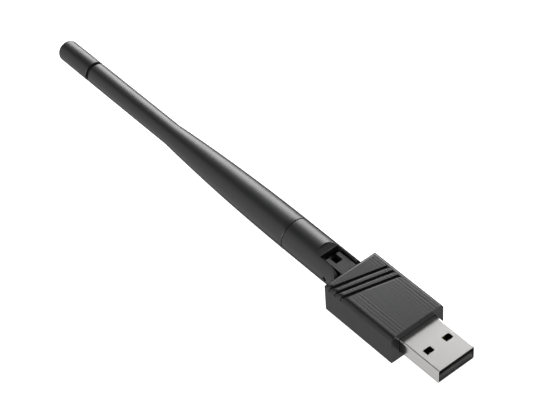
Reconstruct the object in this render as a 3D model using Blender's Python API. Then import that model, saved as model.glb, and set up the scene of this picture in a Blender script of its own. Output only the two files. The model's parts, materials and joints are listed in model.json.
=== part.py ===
"""USB wifi adapter with a fold-up rod antenna.

A moulded body with a USB-A plug in front carries a long tapered antenna on a fork-and-tongue hinge behind.
+X runs towards the plug's tip, +Y across the body and +Z up. The origin is under the middle of the whole
length, at the height of the antenna's lowest line. Body pieces hang on an empty at the foot of the front
face, and antenna pieces hang on an empty on the hinge axis.
"""

import math

import bmesh
import bpy

MM = 0.001

# Body, measured from the front face (x) and the underside (z)
BODY_LENGTH = 24.85 * MM
BODY_WIDTH = 17.2 * MM
BODY_HEIGHT = 8.85 * MM
SHOULDER_WIDTH = 1.3 * MM
SHOULDER_DROP = 1.5 * MM
SHOULDER_SWEEP = math.radians(72.0)
REAR_CORNER = 0.7 * MM
SIDE_WALL = 1.1 * MM
END_WALL = 1.2 * MM
ROOF_WALL = 1.5 * MM
COVER_THICKNESS = 1.0 * MM
FIT_GAP = 0.1 * MM
SLIM_GAP = 0.05 * MM

# Louvre grooves across the top
GROOVE_COUNT = 3
GROOVE_FIRST_X = -20.75 * MM
GROOVE_PITCH = 2.1 * MM
GROOVE_DEPTH = 0.6 * MM
GROOVE_FLOOR = 0.25 * MM
GROOVE_LENGTH = 1.35 * MM
GROOVE_SLANT = math.radians(15.0)
GROOVE_RIGHT_END = 7.1 * MM

# USB-A plug
PLUG_LENGTH = 13.5 * MM
PLUG_WIDTH = 12.0 * MM
PLUG_HEIGHT = 4.5 * MM
PLUG_UNDERSIDE = 2.18 * MM
PLUG_WALL = 0.3 * MM
PLUG_HIDDEN = 5.25 * MM
WINDOW_LENGTH = 1.8 * MM
WINDOW_WIDTH = 2.4 * MM
WINDOW_X = 7.2 * MM
WINDOW_Y = 3.1 * MM
INSULATOR_SETBACK = 0.4 * MM
INSULATOR_TOP = 4.35 * MM
INSULATOR_STEP = -1.0 * MM
INSULATOR_REAR = -5.0 * MM
CONTACT_WIDTH = 1.0 * MM
CONTACT_THICKNESS = 0.2 * MM
CONTACT_SPOTS = (-3.5 * MM, -1.0 * MM, 1.0 * MM, 3.5 * MM)
OUTER_REACH = 11.8 * MM
INNER_REACH = 10.8 * MM
CONTACT_TAIL = -5.7 * MM
TAIL_THICKNESS = 0.3 * MM

# Circuit board
BOARD_FRONT = -1.6 * MM
BOARD_REAR = -21.5 * MM
BOARD_HALF_WIDTH = 6.9 * MM
BOARD_UNDERSIDE = 1.15 * MM
BOARD_THICKNESS = 0.8 * MM
BOARD_TOP = BOARD_UNDERSIDE + BOARD_THICKNESS
CHIP_ROUNDING = 0.08 * MM

# Coax lead inside the body
PAD_X = -16.4 * MM
RISE_START = -17.6 * MM
RISE_END = -22.0 * MM
LEAD_PAST_PIN = 2.4 * MM

# Hinge, measured from the pin axis (x forward, z up)
HINGE_HEIGHT = 4.55 * MM
HINGE_SETBACK = 4.15 * MM
TONGUE_HALF_WIDTH = 2.35 * MM
TONGUE_HALF_HEIGHT = 3.15 * MM
TONGUE_REACH = 2.5 * MM
TONGUE_CORNER = 0.35 * MM
NOTCH_HALF_WIDTH = 1.15 * MM
NOTCH_BOTTOM = 0.4 * MM
PIN_RADIUS = 0.62 * MM
PIN_SEAT_RADIUS = 0.70 * MM
PIN_EAR_RADIUS = 0.67 * MM
PIN_INNER_END = 1.3 * MM
PIN_OUTER_END = 4.1 * MM
WASHER_RADIUS = 2.3 * MM
WASHER_HOLE = 0.75 * MM
WASHER_THICKNESS = 0.45 * MM
COAX_RADIUS = 0.565 * MM
COAX_CHANNEL = 0.75 * MM
RISER_OVERLAP = 0.5 * MM

# Antenna, measured back from the pin axis
KNUCKLE_RADIUS = 4.93 * MM
EAR_RADIUS = 4.0 * MM
SLOT_HALF_WIDTH = 3.0 * MM
SLOT_END = -3.7 * MM
SLOT_BACK_RADIUS = 4.1 * MM
LAND_END = -3.9 * MM
LAND_HEIGHT = 3.95 * MM
SCOOP_END = -5.4 * MM
SCOOP_HEIGHT = 4.5 * MM
FACET_END = -5.65 * MM
SEAM_X = -16.65 * MM
SEAM_GAP = 0.2 * MM
SPIGOT_RADIUS = 4.0 * MM
SPIGOT_END = -22.65 * MM
CORE_RADIUS = 2.6 * MM
CORE_START = -12.0 * MM
CORE_BORE = 0.8 * MM
SOCKET_RADIUS = 4.1 * MM
SOCKET_END = -23.2 * MM
TAPER_START = -17.0 * MM
TAPER_END = -69.0 * MM
TIP_RADIUS = 3.185 * MM
SLEEVE_WALL = 1.0 * MM
SLEEVE_END = -104.2 * MM
RING_WIDTH = 1.1 * MM
TIP_END = -119.5 * MM
TIP_ROUNDING = 1.6 * MM
TIP_SPIGOT_RADIUS = 2.05 * MM
TIP_SPIGOT_END = -99.5 * MM

# Radiator inside the antenna
CHOKE_START = -38.0 * MM
CHOKE_END = -63.0 * MM
CHOKE_RADIUS = 1.9 * MM
CHOKE_WALL = 0.3 * MM
FEED_START = -3.25 * MM
FEED_END = -64.0 * MM
WIRE_RADIUS = 0.35 * MM
WIRE_START = -64.2 * MM
WIRE_END = -98.0 * MM
COIL_START = -74.0 * MM
COIL_END = -84.0 * MM
COIL_RADIUS = 1.4 * MM
COIL_TURNS = 5
SHRINK_START = -34.0 * MM
SHRINK_END = -44.0 * MM
FOAM_START = -90.0 * MM
FOAM_END = -94.0 * MM
FOAM_RADIUS = 2.05 * MM
FOAM_HOLE = 0.5 * MM

# Places of the two frames
OVERALL_LENGTH = PLUG_LENGTH + BODY_LENGTH + HINGE_SETBACK - TIP_END
FRONT_X = OVERALL_LENGTH / 2 - PLUG_LENGTH
BODY_LIFT = KNUCKLE_RADIUS - HINGE_HEIGHT
PIN_X = FRONT_X - BODY_LENGTH - HINGE_SETBACK

# Finish of each material: colour, roughness, metallic
BLACK_BODY = ((0.085, 0.085, 0.088, 1.0), 0.5, 0.0)
BLACK_ANTENNA = ((0.045, 0.045, 0.047, 1.0), 0.38, 0.0)
BLACK_TONGUE = ((0.015, 0.015, 0.016, 1.0), 0.55, 0.0)
NICKEL = ((0.60, 0.59, 0.57, 1.0), 0.32, 1.0)
STEEL = ((0.45, 0.45, 0.46, 1.0), 0.35, 1.0)
GOLD = ((0.85, 0.62, 0.28, 1.0), 0.3, 1.0)
BRASS = ((0.72, 0.55, 0.28, 1.0), 0.35, 1.0)
COPPER = ((0.75, 0.42, 0.28, 1.0), 0.35, 1.0)
BOARD_GREEN = ((0.02, 0.13, 0.06, 1.0), 0.45, 0.0)
CHIP_BLACK = ((0.02, 0.02, 0.022, 1.0), 0.55, 0.0)
CERAMIC = ((0.45, 0.33, 0.22, 1.0), 0.5, 0.0)
FOAM_WHITE = ((0.75, 0.75, 0.72, 1.0), 0.9, 0.0)

# Facets of round shapes
FINE = 48
ROUND = 24
CHANNEL_SEGMENTS = 16
SHOULDER_STEPS = 5


def clear_scene():
    for item in list(bpy.data.objects):
        bpy.data.objects.remove(item, do_unlink=True)


def add_frame(name, x, z):
    frame = bpy.data.objects.new(name, None)
    frame.location = (x, 0.0, z)
    frame.empty_display_size = 5 * MM
    bpy.context.collection.objects.link(frame)
    return frame


def add_material(name, finish):
    colour, roughness, metallic = finish
    material = bpy.data.materials.new(name)
    material.use_nodes = True
    shader = material.node_tree.nodes["Principled BSDF"]
    shader.inputs["Base Color"].default_value = colour
    shader.inputs["Roughness"].default_value = roughness
    shader.inputs["Metallic"].default_value = metallic
    return material


def add_mesh(name, mesh, frame, finish):
    """Link a mesh as an object on its frame; without a finish it is a cutter or a guide."""
    item = bpy.data.objects.new(name, mesh)
    item.parent = frame
    bpy.context.collection.objects.link(item)
    if finish is None:
        item.hide_render = True
        item.display_type = "WIRE"
    else:
        mesh.materials.append(add_material(name, finish))
    return item


def close_mesh(name, build):
    build.normal_update()
    bmesh.ops.recalc_face_normals(build, faces=build.faces)
    mesh = bpy.data.meshes.new(name)
    build.to_mesh(mesh)
    build.free()
    return mesh


def prism(name, frame, finish, axis, outline, low, high):
    """Extrude a closed outline along X (outline in y, z), Y (outline in x, z) or Z (outline in x, y)."""
    place = {
        "X": lambda a, b, along: (along, a, b),
        "Y": lambda a, b, along: (a, along, b),
        "Z": lambda a, b, along: (a, b, along),
    }[axis]
    build = bmesh.new()
    near = [build.verts.new(place(a, b, low)) for a, b in outline]
    far = [build.verts.new(place(a, b, high)) for a, b in outline]
    build.faces.new(near)
    build.faces.new(far)
    count = len(outline)
    for i in range(count):
        j = (i + 1) % count
        build.faces.new((near[i], near[j], far[j], far[i]))
    return add_mesh(name, close_mesh(name, build), frame, finish)


def block(name, frame, finish, low, high):
    outline = [(low[0], low[2]), (high[0], low[2]), (high[0], high[2]), (low[0], high[2])]
    return prism(name, frame, finish, "Y", outline, low[1], high[1])


def lathe(name, frame, finish, profile, segments):
    """Turn a profile of (x, radius) points about the X axis; a tube's profile is a closed loop."""
    build = bmesh.new()
    rings = []
    for x, radius in profile:
        if radius == 0:
            rings.append([build.verts.new((x, 0.0, 0.0))])
            continue
        ring = []
        for i in range(segments):
            angle = 2 * math.pi * i / segments
            ring.append(build.verts.new((x, radius * math.cos(angle), radius * math.sin(angle))))
        rings.append(ring)
    pairs = list(zip(rings, rings[1:]))
    if len(rings[0]) > 1:
        pairs.append((rings[-1], rings[0]))
    for first, second in pairs:
        for i in range(segments):
            j = (i + 1) % segments
            corners = [first[i % len(first)], first[j % len(first)]]
            corners += [second[j % len(second)], second[i % len(second)]]
            build.faces.new(list(dict.fromkeys(corners)))
    mesh = close_mesh(name, build)
    shade_round(mesh)
    return add_mesh(name, mesh, frame, finish)


def cross_pin(name, frame, finish, radius, low, high, segments):
    """A round bar along Y through the frame's origin."""
    outline = circle(radius, segments)
    item = prism(name, frame, finish, "Y", outline, low, high)
    shade_round(item.data)
    return item


def circle(radius, segments):
    points = []
    for i in range(segments):
        angle = 2 * math.pi * i / segments
        points.append((radius * math.cos(angle), radius * math.sin(angle)))
    return points


def arc(centre, radius, start, end, steps):
    points = []
    for i in range(steps + 1):
        angle = math.radians(start + (end - start) * i / steps)
        points.append((centre[0] + radius * math.cos(angle), centre[1] + radius * math.sin(angle)))
    return points


def shade_round(mesh):
    mesh.shade_smooth()
    mesh.set_sharp_from_angle(angle=math.radians(35))


def wire(name, frame, finish, points, radius, bevel_resolution):
    curve = bpy.data.curves.new(name, "CURVE")
    curve.dimensions = "3D"
    curve.bevel_depth = radius
    curve.bevel_resolution = bevel_resolution
    curve.use_fill_caps = True
    spline = curve.splines.new("POLY")
    spline.points.add(len(points) - 1)
    for spot, point in zip(spline.points, points):
        spot.co = (*point, 1.0)
    curve.materials.append(add_material(name, finish))
    item = bpy.data.objects.new(name, curve)
    item.parent = frame
    bpy.context.collection.objects.link(item)
    return item


def apply_tool(target, tool, operation):
    modifier = target.modifiers.new(tool.name, "BOOLEAN")
    modifier.operation = operation
    modifier.solver = "EXACT"
    modifier.object = tool


# ---- body ----

def shoulder_curve(corner, steps):
    """Part of an ellipse, from an upright face at the corner's value up to a crease at the crown."""
    points = []
    for i in range(steps + 1):
        angle = SHOULDER_SWEEP * i / steps
        inward = SHOULDER_WIDTH * (1 - math.cos(angle)) / (1 - math.cos(SHOULDER_SWEEP))
        below = SHOULDER_DROP * (1 - math.sin(angle) / math.sin(SHOULDER_SWEEP))
        points.append((corner - inward, BODY_HEIGHT - below))
    return points


def body_outline():
    """The body's cross-section: flat sides and underside, rounded along both top edges."""
    half = BODY_WIDTH / 2
    right = shoulder_curve(half, SHOULDER_STEPS)
    left = [(-y, z) for y, z in reversed(right)]
    return [(-half, 0.0), (half, 0.0)] + right + left


def side_outline():
    """The body from the side: its top edge is rounded at the rear, and it runs on past the front."""
    rear = [(-x, z) for x, z in shoulder_curve(BODY_LENGTH, SHOULDER_STEPS)]
    return [(MM, -MM), (-BODY_LENGTH, -MM)] + rear + [(MM, BODY_HEIGHT)]


def plan_outline():
    """The body from above: rounded at the two rear corners, and wider and longer than it elsewhere."""
    half = BODY_WIDTH / 2
    beyond = half + MM
    middle = REAR_CORNER - BODY_LENGTH
    outline = [(MM, -beyond), (MM, beyond), (middle, beyond)]
    outline += arc((middle, half - REAR_CORNER), REAR_CORNER, 90, 180, 3)
    outline += arc((middle, REAR_CORNER - half), REAR_CORNER, 180, 270, 3)
    outline.append((middle, -beyond))
    return outline


def half_tongue_outline(side):
    """Side view of the hinge tongue above (+1) or below (-1) the parting plane, in the pin's frame."""
    root = HINGE_SETBACK + END_WALL / 2
    centre = (TONGUE_CORNER - TONGUE_REACH, TONGUE_HALF_HEIGHT - TONGUE_CORNER)
    outline = [(root, SLIM_GAP), (root, TONGUE_HALF_HEIGHT)]
    outline += arc(centre, TONGUE_CORNER, 90, 180, 2)
    outline.append((-TONGUE_REACH, SLIM_GAP))
    return [(x, side * z) for x, z in outline]


def cut_tongue_openings(target, name, pin_frame):
    """Cut the notch, the coax channel and the pin seats that both halves of the tongue share."""
    beyond = TONGUE_HALF_HEIGHT + MM
    outer = -TONGUE_REACH - MM
    notch = block(name + "_notch", pin_frame, None,
                  (outer, -NOTCH_HALF_WIDTH, -beyond), (NOTCH_BOTTOM, NOTCH_HALF_WIDTH, beyond))
    channel = prism(name + "_channel", pin_frame, None, "X", circle(COAX_CHANNEL, CHANNEL_SEGMENTS),
                    outer, HINGE_SETBACK + END_WALL + MM)
    seat = cross_pin(name + "_pin_seat", pin_frame, None, PIN_SEAT_RADIUS, -beyond, beyond, ROUND)
    for tool in (notch, channel, seat):
        apply_tool(target, tool, "DIFFERENCE")


def groove_cutter(name, frame, x):
    """A slanted wedge: an upright wall on the antenna side, a narrow floor, and a ramp towards the plug."""
    build = bmesh.new()
    above = GROOVE_DEPTH
    ramp_over = GROOVE_FLOOR + 2 * (GROOVE_LENGTH - GROOVE_FLOOR)
    section = [(0.0, above), (0.0, -GROOVE_DEPTH), (GROOVE_FLOOR, -GROOVE_DEPTH), (ramp_over, above)]
    rows = []
    for y in (-BODY_WIDTH / 2 - MM, GROOVE_RIGHT_END):
        shift = x + y * math.tan(GROOVE_SLANT)
        rows.append([build.verts.new((shift + along, y, BODY_HEIGHT + up)) for along, up in section])
    near, far = rows
    build.faces.new(near)
    build.faces.new(far)
    count = len(section)
    for i in range(count):
        j = (i + 1) % count
        build.faces.new((near[i], near[j], far[j], far[i]))
    return add_mesh(name, close_mesh(name, build), frame, None)


def add_housing_shell(body, pin_frame):
    shell = prism("housing_shell", body, BLACK_BODY, "X", body_outline(), -BODY_LENGTH, 0.0)
    half = BODY_WIDTH / 2
    side = prism("shell_side", body, None, "Y", side_outline(), -half - MM, half + MM)
    plan = prism("shell_plan", body, None, "Z", plan_outline(), -2 * MM, BODY_HEIGHT + MM)
    apply_tool(shell, side, "INTERSECT")
    apply_tool(shell, plan, "INTERSECT")
    tongue = prism("shell_tongue", pin_frame, None, "Y", half_tongue_outline(1),
                   -TONGUE_HALF_WIDTH, TONGUE_HALF_WIDTH)
    apply_tool(shell, tongue, "UNION")
    inner = half - SIDE_WALL
    cavity = block("shell_cavity", body, None,
                   (-BODY_LENGTH + END_WALL, -inner, -MM), (-END_WALL, inner, BODY_HEIGHT - ROOF_WALL))
    window_half = PLUG_WIDTH / 2 + FIT_GAP
    window = block("shell_plug_window", body, None,
                   (-END_WALL - MM, -window_half, PLUG_UNDERSIDE - FIT_GAP),
                   (MM, window_half, PLUG_UNDERSIDE + PLUG_HEIGHT + FIT_GAP))
    riser_half = TONGUE_HALF_WIDTH + FIT_GAP
    riser_slot = block("shell_riser_slot", body, None,
                       (-BODY_LENGTH - MM, -riser_half, -MM),
                       (-BODY_LENGTH + END_WALL + RISER_OVERLAP, riser_half, HINGE_HEIGHT + SLIM_GAP))
    for tool in (cavity, window, riser_slot):
        apply_tool(shell, tool, "DIFFERENCE")
    cut_tongue_openings(shell, "shell", pin_frame)
    for i in range(GROOVE_COUNT):
        groove = groove_cutter(f"groove_{i + 1}", body, GROOVE_FIRST_X + i * GROOVE_PITCH)
        apply_tool(shell, groove, "DIFFERENCE")


def add_bottom_cover(body, pin_frame):
    half = BODY_WIDTH / 2 - SIDE_WALL - FIT_GAP
    rear = -BODY_LENGTH + END_WALL + FIT_GAP
    front = -END_WALL - FIT_GAP
    cover = block("bottom_cover", body, BLACK_BODY, (rear, -half, 0.0), (front, half, COVER_THICKNESS))
    riser = block("cover_riser", body, None,
                  (-BODY_LENGTH, -TONGUE_HALF_WIDTH, 0.0),
                  (rear + RISER_OVERLAP, TONGUE_HALF_WIDTH, HINGE_HEIGHT - SLIM_GAP))
    tongue = prism("cover_tongue", pin_frame, None, "Y", half_tongue_outline(-1),
                   -TONGUE_HALF_WIDTH, TONGUE_HALF_WIDTH)
    apply_tool(cover, riser, "UNION")
    apply_tool(cover, tongue, "UNION")
    cut_tongue_openings(cover, "cover", pin_frame)


# ---- USB plug ----

def add_usb_shell(body):
    half = PLUG_WIDTH / 2
    top = PLUG_UNDERSIDE + PLUG_HEIGHT
    shell = block("usb_shell", body, NICKEL, (-PLUG_HIDDEN, -half, PLUG_UNDERSIDE), (PLUG_LENGTH, half, top))
    bore = block("usb_bore", body, None,
                 (-PLUG_HIDDEN - MM, -half + PLUG_WALL, PLUG_UNDERSIDE + PLUG_WALL),
                 (PLUG_LENGTH + MM, half - PLUG_WALL, top - PLUG_WALL))
    apply_tool(shell, bore, "DIFFERENCE")
    for label, y in (("left", -WINDOW_Y), ("right", WINDOW_Y)):
        window = block(f"usb_window_{label}", body, None,
                       (WINDOW_X - WINDOW_LENGTH / 2, y - WINDOW_WIDTH / 2, PLUG_UNDERSIDE - MM),
                       (WINDOW_X + WINDOW_LENGTH / 2, y + WINDOW_WIDTH / 2, top + MM))
        apply_tool(shell, window, "DIFFERENCE")


def add_usb_insulator(body):
    """A long tongue under the contacts and a full-height block behind it, slotted for the contacts."""
    low = PLUG_UNDERSIDE + PLUG_WALL + SLIM_GAP
    high = PLUG_UNDERSIDE + PLUG_HEIGHT - PLUG_WALL - SLIM_GAP
    front = PLUG_LENGTH - INSULATOR_SETBACK
    half = PLUG_WIDTH / 2 - PLUG_WALL - SLIM_GAP
    outline = [(front, low), (front, INSULATOR_TOP), (INSULATOR_STEP, INSULATOR_TOP), (INSULATOR_STEP, high)]
    outline += [(INSULATOR_REAR, high), (INSULATOR_REAR, low)]
    insulator = prism("usb_insulator", body, BLACK_TONGUE, "Y", outline, -half, half)
    slot_half = CONTACT_WIDTH / 2 + FIT_GAP
    for i, y in enumerate(CONTACT_SPOTS):
        slot = block(f"contact_slot_{i + 1}", body, None,
                     (INSULATOR_REAR - MM, y - slot_half, INSULATOR_TOP - SLIM_GAP / 2),
                     (INSULATOR_STEP + MM, y + slot_half, INSULATOR_TOP + CONTACT_THICKNESS + 2 * FIT_GAP))
        apply_tool(insulator, slot, "DIFFERENCE")
    return insulator


def add_contacts(body):
    """Flat springs on the tongue, bent down to the board behind the plug; the outer two reach further."""
    low = INSULATOR_TOP + SLIM_GAP
    high = low + CONTACT_THICKNESS
    foot = BOARD_TOP + FIT_GAP
    heel = CONTACT_TAIL - TAIL_THICKNESS
    half = CONTACT_WIDTH / 2
    for i, y in enumerate(CONTACT_SPOTS):
        reach = OUTER_REACH if i in (0, len(CONTACT_SPOTS) - 1) else INNER_REACH
        outline = [(reach, low), (reach, high), (heel, high), (heel, foot)]
        outline += [(CONTACT_TAIL, foot), (CONTACT_TAIL, low)]
        prism(f"usb_contact_{i + 1}", body, GOLD, "Y", outline, y - half, y + half)


# ---- circuit board ----

def add_board(body):
    block("circuit_board", body, BOARD_GREEN,
          (BOARD_REAR, -BOARD_HALF_WIDTH, BOARD_UNDERSIDE), (BOARD_FRONT, BOARD_HALF_WIDTH, BOARD_TOP))


def add_chip(name, body, finish, x, y, size):
    length, width, height = size
    low = BOARD_TOP + SLIM_GAP
    chip = block(name, body, finish,
                 (x - length / 2, y - width / 2, low), (x + length / 2, y + width / 2, low + height))
    rounding = chip.modifiers.new("rounding", "BEVEL")
    rounding.width = CHIP_ROUNDING
    rounding.segments = 1
    rounding.limit_method = "ANGLE"


def add_components(body):
    add_chip("wifi_chip", body, CHIP_BLACK, -13.4 * MM, -0.6 * MM, (5.0 * MM, 5.0 * MM, 0.85 * MM))
    add_chip("quartz_crystal", body, STEEL, -8.4 * MM, 4.6 * MM, (2.5 * MM, 3.2 * MM, 0.7 * MM))
    add_chip("voltage_regulator", body, CHIP_BLACK, -8.6 * MM, -4.9 * MM, (2.9 * MM, 1.6 * MM, 1.1 * MM))
    add_chip("power_inductor", body, CHIP_BLACK, -12.6 * MM, -5.2 * MM, (2.5 * MM, 2.0 * MM, 1.2 * MM))
    places = ((-8.4, -2.6), (-8.4, 1.2), (-12.2, 4.9), (-14.9, 4.9), (-16.8, -4.8), (-18.6, 3.4))
    for i, (x, y) in enumerate(places):
        add_chip(f"chip_capacitor_{i + 1}", body, CERAMIC, x * MM, y * MM, (1.6 * MM, 0.8 * MM, 0.8 * MM))


def add_coax_lead(body):
    """The coax rises from its pad on the board to the hinge height and runs out through the tongue."""
    pad_z = BOARD_TOP + FIT_GAP + COAX_RADIUS
    lead_end = -BODY_LENGTH - HINGE_SETBACK - LEAD_PAST_PIN
    points = [(PAD_X, 0.0, pad_z)]
    steps = 8
    for i in range(steps + 1):
        share = i / steps
        ease = (1 - math.cos(math.pi * share)) / 2
        x = RISE_START + (RISE_END - RISE_START) * share
        points.append((x, 0.0, pad_z + (HINGE_HEIGHT - pad_z) * ease))
    points.append((lead_end, 0.0, HINGE_HEIGHT))
    wire("coax_lead", body, BLACK_TONGUE, points, COAX_RADIUS, 2)


# ---- hinge ----

def add_hinge_hardware(pin_frame):
    inner = TONGUE_HALF_WIDTH + FIT_GAP
    outer = inner + WASHER_THICKNESS
    for side, label in ((-1, "left"), (1, "right")):
        near, far = sorted((side * PIN_INNER_END, side * PIN_OUTER_END))
        cross_pin(f"hinge_pin_{label}", pin_frame, STEEL, PIN_RADIUS, near, far, ROUND)
        near, far = sorted((side * inner, side * outer))
        washer_name = f"friction_washer_{label}"
        washer = cross_pin(washer_name, pin_frame, BLACK_TONGUE, WASHER_RADIUS, near, far, ROUND)
        hole = cross_pin(f"washer_hole_{label}", pin_frame, None, WASHER_HOLE, -outer - MM, outer + MM, ROUND)
        apply_tool(washer, hole, "DIFFERENCE")


# ---- antenna ----

def facet_outline(beyond):
    """Side view of what is cut away above the slot's end: a narrow land, a shallow scoop and a steep rise."""
    over = 0.2 * MM
    rise = (KNUCKLE_RADIUS - SCOOP_HEIGHT) / (SCOOP_END - FACET_END)
    return [
        (SLOT_END + over, LAND_HEIGHT), (LAND_END, LAND_HEIGHT),
        (SCOOP_END, SCOOP_HEIGHT), (FACET_END - over, KNUCKLE_RADIUS + over * rise),
        (FACET_END - over, beyond), (SLOT_END + over, beyond),
    ]


def slot_outline(beyond):
    """Side view of the fork's slot: its end wall is hollowed about the pin, so the tongue can swing by."""
    half_hollow = math.degrees(math.acos(SLOT_END / -SLOT_BACK_RADIUS))
    hollow = arc((0.0, 0.0), SLOT_BACK_RADIUS, 180 - half_hollow, 180 + half_hollow, 8)
    return [(beyond, beyond), (SLOT_END, beyond)] + hollow + [(SLOT_END, -beyond), (beyond, -beyond)]


def add_knuckle(pin_frame):
    """A round fork: its ears are rounded above the pin to swing past the body, and stay square below it,
    where they stop the antenna when it is straight."""
    profile = [
        (EAR_RADIUS, KNUCKLE_RADIUS), (SEAM_X, KNUCKLE_RADIUS), (SEAM_X, SPIGOT_RADIUS),
        (SPIGOT_END, SPIGOT_RADIUS), (SPIGOT_END, CORE_RADIUS), (CORE_START, CORE_RADIUS),
        (CORE_START, CORE_BORE), (EAR_RADIUS, CORE_BORE),
    ]
    knuckle = lathe("antenna_knuckle", pin_frame, BLACK_ANTENNA, profile, FINE)
    beyond = 6 * MM
    slot = prism("fork_slot", pin_frame, None, "Y", slot_outline(beyond), -SLOT_HALF_WIDTH, SLOT_HALF_WIDTH)
    facet = prism("fork_facet", pin_frame, None, "Y", facet_outline(beyond), -beyond, beyond)
    past_top = math.radians(80)
    start = (EAR_RADIUS * math.cos(past_top), beyond)
    ear_outline = arc((0.0, 0.0), EAR_RADIUS, 0, 80, 10) + [start, (beyond, beyond), (beyond, 0.0)]
    ear_round = prism("ear_rounding", pin_frame, None, "Y", ear_outline, -beyond, beyond)
    pin_bore = cross_pin("ear_pin_bore", pin_frame, None, PIN_EAR_RADIUS, -beyond, beyond, ROUND)
    for tool in (slot, facet, ear_round, pin_bore):
        apply_tool(knuckle, tool, "DIFFERENCE")


def sleeve_radius(x):
    """The sleeve keeps the knuckle's radius, then bows in along a parabola to the slim end."""
    share = min(max((TAPER_START - x) / (TAPER_START - TAPER_END), 0.0), 1.0)
    return KNUCKLE_RADIUS - (KNUCKLE_RADIUS - TIP_RADIUS) * share ** 2


def add_sleeve(pin_frame):
    start = SEAM_X - SEAM_GAP
    steps = 12
    stations = [TAPER_START + (TAPER_END - TAPER_START) * i / steps for i in range(steps + 1)]
    outer = [(start, KNUCKLE_RADIUS)] + [(x, sleeve_radius(x)) for x in stations] + [(SLEEVE_END, TIP_RADIUS)]
    inner_stations = [SLEEVE_END] + [x for x in reversed(stations) if x < SOCKET_END] + [SOCKET_END]
    inner = [(x, sleeve_radius(x) - SLEEVE_WALL) for x in inner_stations]
    inner += [(SOCKET_END, SOCKET_RADIUS), (start, SOCKET_RADIUS)]
    lathe("antenna_sleeve", pin_frame, BLACK_ANTENNA, outer + inner, FINE)


def add_tip_cap(pin_frame):
    start = SLEEVE_END - RING_WIDTH
    corner = arc((TIP_END + TIP_ROUNDING, TIP_RADIUS - TIP_ROUNDING), TIP_ROUNDING, 90, 180, 5)
    spigot = [(TIP_SPIGOT_END, 0.0), (TIP_SPIGOT_END, TIP_SPIGOT_RADIUS), (start, TIP_SPIGOT_RADIUS)]
    profile = spigot + [(start, TIP_RADIUS)] + corner + [(TIP_END, 0.0)]
    lathe("tip_cap", pin_frame, BLACK_ANTENNA, profile, FINE)


def add_radiator(pin_frame):
    wire("coax_feed", pin_frame, BLACK_TONGUE, [(FEED_START, 0.0, 0.0), (FEED_END, 0.0, 0.0)], COAX_RADIUS, 2)
    bore = CHOKE_RADIUS - CHOKE_WALL
    neck = COAX_RADIUS + SLIM_GAP
    choke = [
        (CHOKE_START, CHOKE_RADIUS), (CHOKE_END, CHOKE_RADIUS), (CHOKE_END, neck),
        (CHOKE_END + CHOKE_WALL, neck), (CHOKE_END + CHOKE_WALL, bore), (CHOKE_START, bore),
    ]
    lathe("choke_tube", pin_frame, BRASS, choke, ROUND)
    shrink_in = COAX_RADIUS + FIT_GAP
    shrink_out = bore - FIT_GAP
    shrink = [
        (SHRINK_START, shrink_out), (SHRINK_END, shrink_out),
        (SHRINK_END, shrink_in), (SHRINK_START, shrink_in),
    ]
    lathe("heat_shrink_sleeve", pin_frame, CHIP_BLACK, shrink, ROUND)
    add_radiator_wire(pin_frame)
    foam = [
        (FOAM_START, FOAM_RADIUS), (FOAM_END, FOAM_RADIUS), (FOAM_END, FOAM_HOLE), (FOAM_START, FOAM_HOLE),
    ]
    lathe("foam_spacer", pin_frame, FOAM_WHITE, foam, ROUND)


def add_radiator_wire(pin_frame):
    """A straight wire with a phasing coil between its two halves."""
    points = [(WIRE_START, 0.0, 0.0), (COIL_START + 2 * MM, 0.0, 0.0)]
    per_turn = 12
    count = COIL_TURNS * per_turn
    for i in range(count + 1):
        share = i / count
        angle = 2 * math.pi * COIL_TURNS * share
        x = COIL_START + (COIL_END - COIL_START) * share
        points.append((x, COIL_RADIUS * math.sin(angle), COIL_RADIUS * math.cos(angle)))
    points.append((COIL_END - 2 * MM, 0.0, 0.0))
    points.append((WIRE_END, 0.0, 0.0))
    wire("radiator_wire", pin_frame, COPPER, points, WIRE_RADIUS, 1)


def build_adapter():
    clear_scene()
    body = add_frame("body_frame", FRONT_X, BODY_LIFT)
    pin_frame = add_frame("hinge_axis", PIN_X, BODY_LIFT + HINGE_HEIGHT)
    add_housing_shell(body, pin_frame)
    add_bottom_cover(body, pin_frame)
    add_usb_shell(body)
    add_usb_insulator(body)
    add_contacts(body)
    add_board(body)
    add_components(body)
    add_coax_lead(body)
    add_hinge_hardware(pin_frame)
    add_knuckle(pin_frame)
    add_sleeve(pin_frame)
    add_tip_cap(pin_frame)
    add_radiator(pin_frame)


build_adapter()
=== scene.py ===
"""Looks of the USB wifi adapter: fine meshes, materials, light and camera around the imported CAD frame."""

import json
import math

import bmesh
import bpy
from mathutils import Matrix, Vector


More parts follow.
